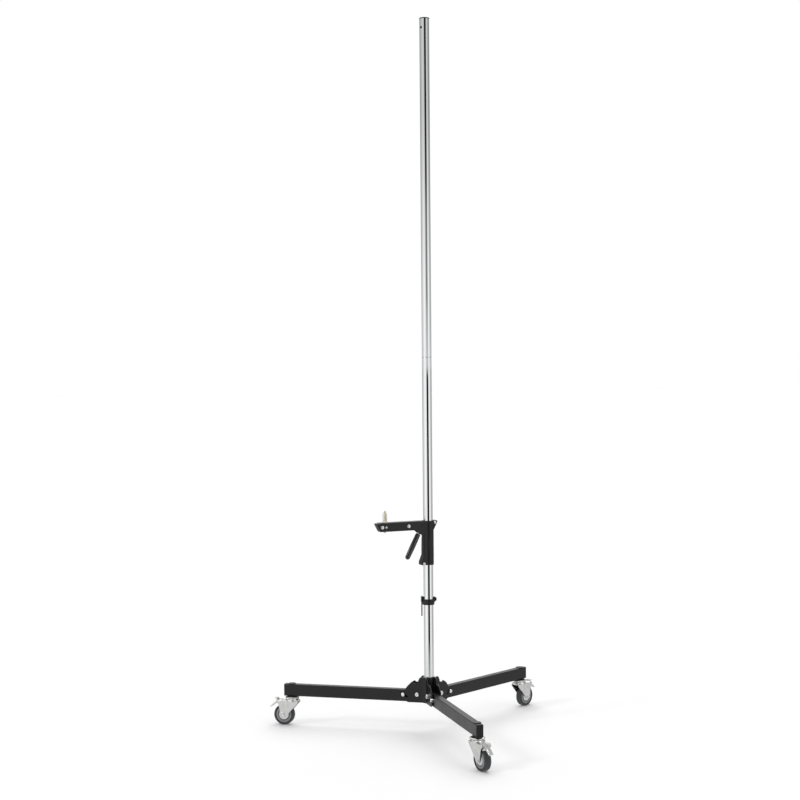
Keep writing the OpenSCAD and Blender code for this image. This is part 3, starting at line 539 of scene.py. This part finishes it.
# Legs: rectangular steel tube with round corners, black powder coated. Each has a moulded end cap and a
# moulded socket through it for the caster's stem, with a flange under the leg and a low dome on top of it.
moulded_black = coated("black_plastic", (0.009, 0.009, 0.010), (0.014, 0.014, 0.015), metallic=0,
                       gloss=(0.28, 0.40), grain=2400, relief=0.00003, specular=0.4)
stem_reach = 0.513
socket_flange = [(0.0062, 0.1040), (0.0182, 0.1040), (0.0188, 0.1043), (0.0190, 0.1048), (0.0190, 0.1062),
                 (0.0188, 0.1067), (0.0182, 0.1070)]
socket_dome = [(0.0130, 0.1500), (0.0134, 0.1503), (0.0135, 0.1508), (0.0133, 0.1515), (0.0124, 0.1524),
               (0.0105, 0.1532), (0.0080, 0.1537), (0.0050, 0.15395), (0.0002, 0.1540)]
socket_outline = socket_flange + [(0.0095, 0.1070), (0.0095, 0.1500)] + socket_dome
for side, azimuth in leg_azimuths.items():
    softened("leg_tube_" + side, 0.0003, powder_black, "leg_" + side, "black_paint")
    softened("leg_end_cap_" + side, 0.0005, moulded_black, "leg_" + side, "black_plastic")
    socket = turned("stem_socket_turned_" + side, socket_outline, steps=64)
    placed(socket, outward(azimuth, stem_reach, 0), upward)
    fit(socket, moulded_black, "leg_" + side, "black_plastic", "stem_socket_" + side)

# Column end ring: a thin moulded black plastic ring pressed over the upper tube's sawn end. It covers the
# end's edge and reaches 3 mm down its outside.
tube_end = max(v.co.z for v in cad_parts["upper_tube"].data.vertices)
end_ring = turned("column_end_ring", [
    (0.01755, -0.0028), (0.0178, -0.0028), (0.0180, -0.0025), (0.0180, 0.0001), (0.0177, 0.0006),
    (0.0172, 0.0008), (0.0166, 0.0008), (0.0164, 0.0006), (0.0164, 0.0002), (0.01755, 0.0002),
    (0.01755, -0.0028)], steps=72)
fit(placed(end_ring, (0, 0, tube_end), upward), moulded_black, "hub", "black_plastic")

# Lock pins: 8 mm plated pins with a collar head at each end. Each slides in its leg's sloping slot and
# drops into the plates' notches; here it is drawn back.
slot_slope = math.radians(31)
seat_out, seat_down = 0.0385, 0.0092
drawn_back = 0.0145
pin_half = [(0.0004, 0.02505), (0.0046, 0.0250), (0.0058, 0.0244), (0.0063, 0.0234), (0.0065, 0.0226),
            (0.0065, 0.0223), (0.0062, 0.0220), (0.0042, 0.0220), (0.0040, 0.0214)]


def both_ways(half):
    return half + [(r, -h) for r, h in reversed(half)]


def along_slot(azimuth):
    return outward(azimuth, math.cos(slot_slope), math.sin(slot_slope))


def pin_seat(azimuth):
    return pivot_centre(azimuth) + outward(azimuth, seat_out, -seat_down)


for side, azimuth in leg_azimuths.items():
    pin = turned("lock_pin_turned_" + side, both_ways(pin_half))
    placed(pin, pin_seat(azimuth) + drawn_back * along_slot(azimuth), outward(azimuth + 90, 1, 0))
    fit(pin, bright_zinc, "lock_" + side, "bright_steel", "lock_pin_" + side)

# Lock springs: wound steel wire inside each leg, from the anchor rod to the lock pin. Each shortens as its
# pin drops into the notch.
wound = bpy.data.node_groups.new("wound_wire", "GeometryNodeTree")
for label, kind in (("Source", "Geometry"), ("Turns", "Float"), ("Radius", "Float"), ("Length", "Float"),
                    ("Wire", "Float"), ("Finish", "Material")):
    wound.interface.new_socket(label, in_out="INPUT", socket_type="NodeSocket" + kind)
wound.interface.new_socket("Spring", in_out="OUTPUT", socket_type="NodeSocketGeometry")
entry = wound.nodes.new("NodeGroupInput")
leave = wound.nodes.new("NodeGroupOutput")
helix = wound.nodes.new("GeometryNodeCurveSpiral")
helix.inputs["Resolution"].default_value = 24
section = wound.nodes.new("GeometryNodeCurvePrimitiveCircle")
section.inputs["Resolution"].default_value = 8
swept = wound.nodes.new("GeometryNodeCurveToMesh")
swept.inputs["Fill Caps"].default_value = True
real = wound.nodes.new("GeometryNodeRealizeInstances")
paint = wound.nodes.new("GeometryNodeSetMaterial")
link = wound.links.new
link(entry.outputs["Turns"], helix.inputs["Rotations"])
link(entry.outputs["Radius"], helix.inputs["Start Radius"])
link(entry.outputs["Radius"], helix.inputs["End Radius"])
link(entry.outputs["Length"], helix.inputs["Height"])
link(entry.outputs["Wire"], section.inputs["Radius"])
link(helix.outputs["Curve"], swept.inputs["Curve"])
link(section.outputs["Curve"], swept.inputs["Profile Curve"])
link(swept.outputs["Mesh"], real.inputs["Geometry"])
link(real.outputs["Geometry"], paint.inputs["Geometry"])
link(entry.outputs["Finish"], paint.inputs["Material"])
link(paint.outputs["Geometry"], leave.inputs["Spring"])


def spring(name, turns, radius, length, wire):
    sizes = {"Turns": turns, "Radius": radius, "Length": length, "Wire": wire, "Finish": bright_zinc}
    return evaluated(name, bpy.data.meshes.new(name + "_source"), wound, sizes)


anchor_to_seat = 0.0190
for side, azimuth in leg_azimuths.items():
    along = along_slot(azimuth)
    anchor = pin_seat(azimuth) - anchor_to_seat * along
    coil = placed(spring("lock_spring_coil_" + side, 9.0, 0.003, 0.0275, 0.0006), anchor, along)
    fit(coil, bright_zinc, "leg_" + side, "bright_steel", "lock_spring_" + side)
    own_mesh(coil)

# Casters, fixed part: a zinc-plated steel stem with a rolled race plate under the leg's socket. The plating
# shows its crystals as a faint mottle.
plated = coated("zinc_plate", (0.84, 0.84, 0.83), (0.71, 0.71, 0.70), metallic=1, gloss=(0.16, 0.28),
                grain=420, relief=0.000015, patch=60.0, crystals=True)
race_plate = [(0.0060, 0.1000), (0.0215, 0.1000), (0.0225, 0.1003), (0.0236, 0.1001), (0.0246, 0.1001),
              (0.0256, 0.1006), (0.0260, 0.1013), (0.0259, 0.1021), (0.0252, 0.1030), (0.0240, 0.1036),
              (0.0215, 0.1040), (0.0060, 0.1040)]
stem_foot = [(0.0002, 0.0830), (0.0062, 0.0830), (0.0080, 0.0838), (0.0085, 0.0848), (0.0085, 0.0862),
             (0.0082, 0.0867), (0.0060, 0.0867)]
stem_top = [(0.0060, 0.1430), (0.0052, 0.1440), (0.0002, 0.1440)]
for side, azimuth in leg_azimuths.items():
    mount = turned("race_plate_turned_" + side, stem_foot + race_plate + stem_top, steps=72)
    placed(mount, outward(azimuth, stem_reach, 0), upward)
    fit(mount, plated, "leg_" + side, "zinc_plate", "caster_mount_" + side)

# Swivel balls: a ring of steel balls between each race plate and its fork, which lets the fork turn.
# Geometry Nodes set them round.
ball_radius, pole_radius = 0.0015, 0.00005
ball_count = 24
balls_reach, balls_height = 0.0239, 0.0984
ball_outline = []
for a in range(-90, 91, 20):
    ring_radius = max(ball_radius * math.cos(math.radians(a)), pole_radius)
    ball_outline.append((ring_radius, ball_radius * math.sin(math.radians(a))))
ball = turned("ball", ball_outline, steps=16)
for side, azimuth in leg_azimuths.items():
    middle = outward(azimuth, stem_reach, balls_height)
    around = [outward(360 / ball_count * k, balls_reach, 0) for k in range(ball_count)]
    ball_places = [(middle + spoke, upward) for spoke in around]
    fit_on_places("swivel_balls_" + side, ball, ball_places, bright_zinc, "leg_" + side, "bright_steel")

# Caster forks: pressed and zinc-plated steel with rolled edges and a raised race ring. Each turns on its
# stem, under the ring of balls.
for side in leg_azimuths:
    softened("caster_fork_" + side, 0.0007, plated, "caster_" + side, "zinc_plate")

# Axles: plated bolts through the fork's eyes, with a flanged hexagon head on one side and a lock nut on the
# other. The front caster is turned a little off its leg.
caster_headings = {"left": 150, "front": 283, "right": 30}
axle_height, trail = 0.0375, 0.030
fork_half = 0.0185
axle_outline = both_ways([(0.0038, 0.0186), (0.0040, 0.0184)])[::-1]
flange_outline = [(0.0002, 0), (0.0076, 0), (0.0080, 0.0004), (0.0080, 0.0012), (0.0074, 0.0017),
                  (0.0066, 0.0019, 1), (0.0066, 0.0040, 1), (0.0058, 0.0046), (0.0022, 0.0046),
                  (0.0016, 0.0040), (0.0002, 0.0039)]


def axle_place(side):
    return outward(leg_azimuths[side], stem_reach, axle_height) + outward(caster_headings[side], trail, 0)


for side, heading in caster_headings.items():
    across = outward(heading + 90, 1, 0)
    axle = axle_place(side)
    shaft = placed(turned("axle_shaft_" + side, axle_outline), axle, across)
    fit(shaft, plated, "caster_" + side, "zinc_plate", "caster_axle_" + side)
    flange = placed(turned("axle_head_" + side, flange_outline), axle + fork_half * across, across)
    fit(flange, plated, "caster_" + side, "zinc_plate")
    nut = hexagon_nut("axle_nut_" + side, 0.0120, 0.0042, 0.0040, 0.0010)
    fit(placed(nut, axle - fork_half * across, -across), plated, "caster_" + side, "zinc_plate")

# Wheel cores: moulded grey plastic with a deep recess and a light rim, and a plated dust cap pressed over
# the bearing on each side.
core_grey = coated("wheel_core", (0.36, 0.365, 0.375), (0.29, 0.295, 0.305), metallic=0, gloss=(0.42, 0.58),
                   grain=1500, relief=0.00004, patch=40.0)
core_half = [(0.00405, 0.0140), (0.0085, 0.0140), (0.0095, 0.0128), (0.0183, 0.0108), (0.0192, 0.0098),
             (0.0198, 0.0062), (0.0212, 0.0056), (0.0222, 0.0092), (0.0228, 0.0104), (0.0240, 0.0108),
             (0.0268, 0.0106), (0.0282, 0.0098), (0.0288, 0.0085), (0.0293, 0.0085), (0.0295, 0.0100)]
cap_outline = [(0.0045, 0.0122), (0.0045, 0.01405), (0.0082, 0.01405), (0.0088, 0.0140), (0.0102, 0.0133),
               (0.0170, 0.0116), (0.0178, 0.0112), (0.0181, 0.0106), (0.0178, 0.0103), (0.0100, 0.0120),
               (0.0045, 0.0122)]
for side, heading in caster_headings.items():
    axle, across = axle_place(side), outward(heading + 90, 1, 0)
    core = turned("wheel_core_turned_" + side, both_ways(core_half) + [core_half[0]], steps=80)
    fit(placed(core, axle, across), core_grey, "wheel_" + side, "wheel_core", "wheel_hub_" + side)
    for way, end in ((1, "near"), (-1, "far")):
        cap = turned(f"dust_cap_{side}_{end}", cap_outline, steps=64)
        fit(placed(cap, axle, way * across), plated, "wheel_" + side, "zinc_plate")

# Tyres: dark grey rubber bonded to the core, with round shoulders, a step on each side wall and a fine
# parting line round the tread.
tyre_rubber = coated("tyre_rubber", (0.038, 0.040, 0.046), (0.060, 0.063, 0.069), metallic=0,
                     gloss=(0.52, 0.72), grain=1700, relief=0.00008, patch=45.0)
shoulder_radius = 0.0042
tyre_half = [(0.0295, 0.0102), (0.0301, 0.0116), (0.0309, 0.0123), (0.0318, 0.0124), (0.0322, 0.0119),
             (0.0328, 0.0119)]
for a in range(80, -1, -10):
    tyre_half.append((0.0333 + shoulder_radius * math.cos(math.radians(a)),
                      0.0078 + shoulder_radius * math.sin(math.radians(a))))
tyre_half += [(0.03748, 0.0040), (0.0375, 0.0010), (0.0373, 0.0005)]
for side, heading in caster_headings.items():
    tyre = turned("tyre_moulded_" + side, both_ways(tyre_half) + [tyre_half[0]], steps=96)
    placed(tyre, axle_place(side), outward(heading + 90, 1, 0))
    fit(tyre, tyre_rubber, "wheel_" + side, "tyre_rubber", "tyre_" + side)

# Brake pedals: pressed and plated steel, hinged in the fork's outer end. The upper tab lets go and the
# lower tab presses the block on the tyre.
for side in leg_azimuths:
    softened("brake_pedal_" + side, 0.0006, plated, "brake_" + side, "zinc_plate")

# Stop collar: black-coated casting closed on the column by a chromed clamp lever. A moulded black lock knob
# with twenty ridges stands on the other side.
softened("stop_collar", 0.0006, cast_black, "stop_collar", "black_casting")
lever_chrome = coated("lever_chrome", (0.84, 0.85, 0.86), (0.76, 0.77, 0.79), metallic=1, gloss=(0.08, 0.16),
                      grain=300, relief=0.00001, patch=70.0)
softened("stop_lever", 0.0008, lever_chrome, "stop_lever", "column_chrome")
knob_azimuth = 350
knob_reach, knob_height = 0.0248, 0.4755
knob_way = outward(knob_azimuth, 1, 0)
knob_foot = outward(knob_azimuth, knob_reach, knob_height)
knob_body = turned("stop_knob_turned", [
    (0.0002, -0.0064), (0.0023, -0.0064), (0.0025, -0.0062), (0.0025, 0.0), (0.0050, 0.0), (0.0054, 0.0004),
    (0.0054, 0.0037), (0.0050, 0.0042), (0.0030, 0.0042), (0.0024, 0.0038), (0.0002, 0.0038)])
fit(placed(knob_body, knob_foot, knob_way), moulded_black, "stop_knob", "black_plastic", "stop_knob")
ridge_count = 20
ridge_reach, ridge_start = 0.0053, 0.0004
ridge = through_rod("ridge", 0.0006, 0.0003, 0.0003, 0.0032, steps=8)
ridge_places = []
for k in range(ridge_count):
    a = 2 * math.pi * k / ridge_count
    spoke = math.cos(a) * outward(knob_azimuth + 90, 1, 0) + math.sin(a) * upward
    ridge_places.append((knob_foot + ridge_reach * spoke + ridge_start * knob_way, knob_way))
fit_on_places("stop_knob_ridges", ridge, ridge_places, moulded_black, "stop_knob", "black_plastic")

# Arm: a die casting in two halves, black coated, that meet in a fine line along the middle. Inside run two
# nylon glide rings, the shoe and the sleeves that grip the column.
arm_azimuth = 186.4
bore_edge = 0.0199


def outside_bore(edge):
    return max(v.co.x ** 2 + v.co.y ** 2 for v in edge.verts) > bore_edge ** 2


for node in ("arm_shell_near", "arm_shell_far"):
    softened(node, 0.0009, cast_black, "arm", "black_casting", keep=outside_bore)
glide_nylon = coated("nylon", (0.80, 0.79, 0.74), (0.70, 0.68, 0.63), metallic=0, gloss=(0.4, 0.55),
                     grain=900, relief=0.00003)
coat_cad_piece("glide_rings", glide_nylon)
coat_cad_piece("grip_sleeves", bright_zinc)
coat_cad_piece("brake_shoe", glide_nylon)

# Arm bolts: bright steel through bolts with button heads on the near side and nuts on the far side, and a
# small screw that locks the stud in the socket.
across = outward(arm_azimuth + 90, 1, 0)
arm_side = 0.014
bolt_height = 0.742
stud_reach = 0.166
grip_bolts = ((-0.0213, 0.751), (0.0213, 0.6055))
clamp_bolts = ((0.080, bolt_height), (0.181, bolt_height))
grip_head = button_head("grip_head", 0.0050, 0.0035, 0.0015)
grip_nut = hexagon_nut("grip_nut", 0.0085, 0.0028, 0.0020, 0.0006)
arm_head = button_head("arm_head", 0.0062, 0.0035, 0.0018)
arm_nut = hexagon_nut("arm_nut", 0.0107, 0.0028, 0.0030, 0.0006)
for name, bolts, head, nut, shaft, replaced in (
        ("grip_bolt", grip_bolts, grip_head, grip_nut, 0.002, ["arm_bolts"]),
        ("arm_bolt", clamp_bolts, arm_head, arm_nut, 0.003, [])):
    near = [(outward(arm_azimuth, u, z) + arm_side * across, across) for u, z in bolts]
    far = [(outward(arm_azimuth, u, z) - arm_side * across, -across) for u, z in bolts]
    rods = [(at, -way) for at, way in far]
    rod = through_rod("arm_rod", shaft, shaft * 0.97, 0.0001, 2 * arm_side, steps=24)
    fit_on_places(name + "_heads", head, near, bright_zinc, "arm", "bright_steel", *replaced)
    fit_on_places(name + "_nuts", nut, far, bright_zinc, "arm", "bright_steel")
    fit_on_places(name + "_shanks", rod, rods, bright_zinc, "arm", "bright_steel")
lock_screw = button_head("socket_lock_screw", 0.0038, 0.0022, 0.0015)
placed(lock_screw, outward(arm_azimuth, stud_reach, bolt_height) + arm_side * across, across)
fit(lock_screw, bright_zinc, "arm", "bright_steel")
softened("spigot_socket", 0.0004, bright_zinc, "arm", "bright_steel")

# Release lever: a flat steel lever on a black pin, with a coil spring on the pin. Its hook draws the shoe
# off the column.
softened("release_lever", 0.0004, bright_zinc, "lever", "bright_steel")
softened("lever_pin", 0.0003, moulded_black, "arm", "black_plastic")
lever_reach, lever_height = 0.027, 0.741
beside_lever = 0.0042
lever_pivot = outward(arm_azimuth, lever_reach, lever_height)
lever_coil = spring("lever_spring_coil", 3.0, 0.0041, 0.0040, 0.0006)
placed(lever_coil, lever_pivot + beside_lever * across, across)
fit(lever_coil, bright_zinc, "arm", "bright_steel", "lever_spring")

# Lever grip: glossy moulded black plastic on the lever's tang, slightly waisted, with a squarish section
# and a round lower end.
grip_black = coated("grip_plastic", (0.006, 0.006, 0.007), (0.010, 0.010, 0.011), metallic=0,
                    gloss=(0.22, 0.30), grain=2400, relief=0.00002, specular=0.9)
grip_high, grip_low = outward(arm_azimuth, 0.038, 0.711), outward(arm_azimuth, 0.0794, 0.631)
half_wide, half_thick = 0.0095, 0.0080
squareness = 0.86
top_round, end_round = 0.003, 0.0092
grip_steps = 40
grip_long = (grip_low - grip_high).length
grip_down = (grip_low - grip_high).normalized()
grip_out = across.cross(grip_down)
if grip_out.dot(outward(arm_azimuth, 1, 0)) < 0:
    grip_out = -grip_out
stations = [0.0, 0.0005, 0.0014, top_round]
stations += [0.006 + 0.004 * k for k in range(21)]
stations += [grip_long + end_round * math.sin(math.radians(a)) for a in range(0, 90, 9)]
stations.append(grip_long + 0.00917)


def squared(part):
    return math.copysign(abs(part) ** squareness, part)


rings = []
for s in stations:
    size = 1.0
    if s < top_round:
        size = 0.86 + 0.14 * math.sqrt(1 - (1 - s / top_round) ** 2)
    if s > grip_long:
        size = math.sqrt(max(1 - ((s - grip_long) / end_round) ** 2, 0.004))
    swell = 0.965 - 0.035 * math.cos(2 * math.pi * min(s / grip_long, 1))
    ring = []
    for k in range(grip_steps):
        a = 2 * math.pi * k / grip_steps
        x = squared(math.cos(a)) * half_wide * swell * size
        y = squared(math.sin(a)) * half_thick * swell * size
        ring.append(grip_high + grip_down * s + grip_out * x + across * y)
    rings.append(ring)
fit(skinned("lever_grip_moulded", rings), grip_black, "lever", "black_plastic", "lever_grip")

# Spigot: turned brass, plated and slightly worn, with a groove on each side of its flange and a cut thread
# on each tip. It stands in the arm's socket on its flange.
brass_stud = coated("brass_stud", (0.93, 0.89, 0.76), (0.84, 0.79, 0.63), metallic=1, gloss=(0.03, 0.07),
                    grain=700, relief=0.00002, patch=90.0)
arm_top = 0.7583
stud_foot = outward(arm_azimuth, stud_reach, arm_top)
stud_steps = 48
thread_step, thread_depth = 0.00014, 0.47
# Each row is a height above the flange's foot, a radius and the thread's pitch there, or 0.
low_thread = [(-0.0373 + thread_step * k, 0.00317, 0.00127) for k in range(66)]
high_thread = [(0.0322 + thread_step * k, 0.00476, 0.00159) for k in range(65)]
low_stud = [(-0.0280, 0.0028, 0), (-0.0280, 0.0070, 0), (-0.0278, 0.0076, 0), (-0.0272, 0.0080, 0),
            (-0.0049, 0.0080, 0), (-0.0047, 0.0079, 0), (-0.0040, 0.0072, 0), (-0.0037, 0.0071, 0),
            (-0.0013, 0.0071, 0), (-0.0010, 0.0072, 0), (-0.0002, 0.0080, 0)]
flange = [(0.0, 0.0082, 0), (0.0, 0.0093, 0), (0.0003, 0.0097, 0), (0.0007, 0.0098, 0), (0.0033, 0.0098, 0),
          (0.0037, 0.0097, 0), (0.0040, 0.0093, 0), (0.0040, 0.0082, 0)]
high_stud = [(0.0042, 0.0080, 0), (0.0050, 0.0072, 0), (0.0053, 0.0071, 0), (0.0077, 0.0071, 0),
             (0.0080, 0.0072, 0), (0.0088, 0.0079, 0), (0.0091, 0.0080, 0), (0.0312, 0.0080, 0),
             (0.0318, 0.0076, 0), (0.0320, 0.0070, 0), (0.0320, 0.0043, 0)]
low_tip = [(-0.0375, 0.0001, 0), (-0.0375, 0.0024, 0)]
high_tip = [(0.0415, 0.0036, 0), (0.0415, 0.0001, 0)]
rings = []
for height, radius, pitch in low_tip + low_thread + low_stud + flange + high_stud + high_thread + high_tip:
    ring = []
    for k in range(stud_steps):
        a = 2 * math.pi * k / stud_steps
        cut = thread_depth * pitch * abs(2 * ((height / pitch - a / (2 * math.pi)) % 1) - 1) if pitch else 0
        r = radius - cut
        ring.append(stud_foot + Vector((r * math.cos(a), r * math.sin(a), height)))
    rings.append(ring)
fit(skinned("spigot_turned", rings), brass_stud, "spigot", "brass_stud", "spigot")
